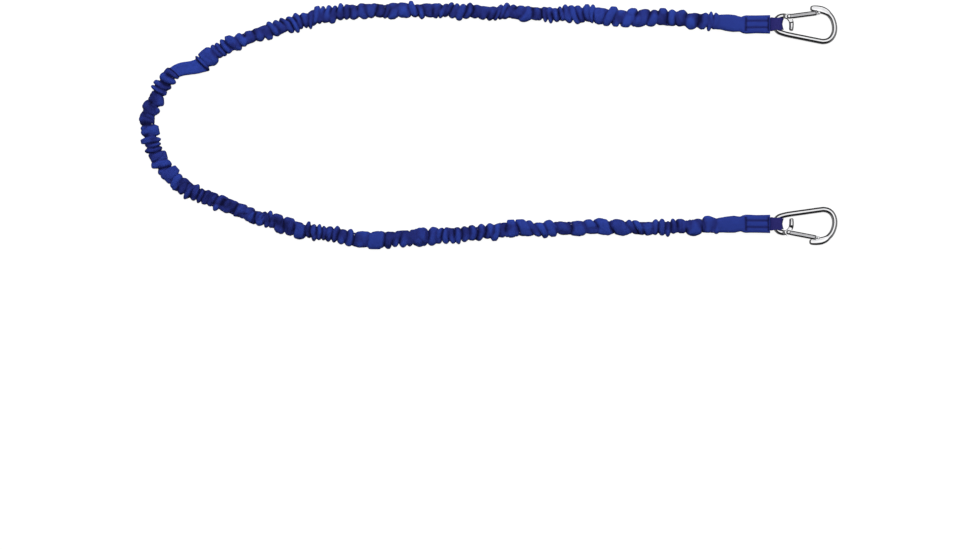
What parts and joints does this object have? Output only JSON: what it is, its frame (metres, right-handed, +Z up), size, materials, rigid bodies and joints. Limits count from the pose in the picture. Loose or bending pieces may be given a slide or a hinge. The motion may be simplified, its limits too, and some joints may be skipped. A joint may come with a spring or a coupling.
{
  "type": "shock absorbing lanyard",
  "caption": "Fall-protection lanyard: gathered blue tubular webbing over an elastic core, with a spring-gated steel snap hook sewn into a webbing loop at each end.",
  "frame": {"origin": "on the surface that it lies on, midway between the two hooks and their sewn loops", "axes": "+X towards the hooks' wide ends, +Y from the lower end to the upper end, +Z up from the surface"},
  "size_m": [0.9042, 0.3167, 0.0111],
  "materials": {
    "sleeve_blue": "woven polyester tube, gathered in cross ruffles",
    "loop_navy": "square-woven navy polyester webbing",
    "thread_blue": "bonded sewing thread",
    "elastic": "braid-covered rubber cord",
    "polished_steel": "polished stainless steel",
    "spring_steel": "drawn spring wire"
  },
  "bodies": {
    "lanyard": {"outer_sleeve": "sleeve_blue", "energy_absorbing_strap": "loop_navy", "elastic_cord_inner": "elastic", "elastic_cord_outer": "elastic", "webbing_loop_upper": "loop_navy", "needle_thread_upper": "thread_blue", "bobbin_thread_upper": "thread_blue", "webbing_loop_lower": "loop_navy", "needle_thread_lower": "thread_blue", "bobbin_thread_lower": "thread_blue"},
    "upper_hook": {"hook_body_upper": "polished_steel", "hinge_rivet_upper": "polished_steel"},
    "upper_gate": {"gate_upper": "polished_steel", "latch_pin_upper": "polished_steel", "gate_spring_upper": "spring_steel"},
    "upper_plunger": {"spring_plunger_upper": "spring_steel"},
    "lower_hook": {"hook_body_lower": "polished_steel", "hinge_rivet_lower": "polished_steel"},
    "lower_gate": {"gate_lower": "polished_steel", "latch_pin_lower": "polished_steel", "gate_spring_lower": "spring_steel"},
    "lower_plunger": {"spring_plunger_lower": "spring_steel"}
  },
  "joints": [
    {"name": "upper_hook_swing", "type": "hinge", "parent": "lanyard", "child": "upper_hook", "pos_m": [-0.0212, 0.1305, 0.0056], "axis": [0, -1, 0], "range_deg": [0, 90], "deforming": ["webbing_loop_upper"]},
    {"name": "upper_gate_hinge", "type": "hinge", "parent": "upper_hook", "child": "upper_gate", "pos_m": [-0.00302, 0.1405, 0.00512], "axis": [-0.0262, 0, -0.9997], "range_deg": [0, 26], "stiffness_Nm_per_rad": 0.2, "springref_deg": -28.65},
    {"name": "upper_plunger_slide", "type": "slide", "parent": "upper_gate", "child": "upper_plunger", "axis": [0.9909, 0.1323, -0.0259], "range_m": [0, 0.00125], "deforming": ["gate_spring_upper"]},
    {"name": "lower_hook_swing", "type": "hinge", "parent": "lanyard", "child": "lower_hook", "pos_m": [-0.0212, -0.1288, 0.0056], "axis": [0, -1, 0], "range_deg": [0, 90], "deforming": ["webbing_loop_lower"]},
    {"name": "lower_gate_hinge", "type": "hinge", "parent": "lower_hook", "child": "lower_gate", "pos_m": [-0.00361, -0.1398, 0.00514], "axis": [0.0262, 0, 0.9997], "range_deg": [0, 26], "stiffness_Nm_per_rad": 0.2, "springref_deg": -28.65},
    {"name": "lower_plunger_slide", "type": "slide", "parent": "lower_gate", "child": "lower_plunger", "axis": [0.982, -0.1874, -0.0257], "range_m": [0, 0.00125], "deforming": ["gate_spring_lower"]}
  ],
  "couplings": [
    {"joint": "upper_plunger_slide", "follows": "upper_gate_hinge", "m_per_rad": 0.0026},
    {"joint": "lower_plunger_slide", "follows": "lower_gate_hinge", "m_per_rad": 0.0026}
  ]
}
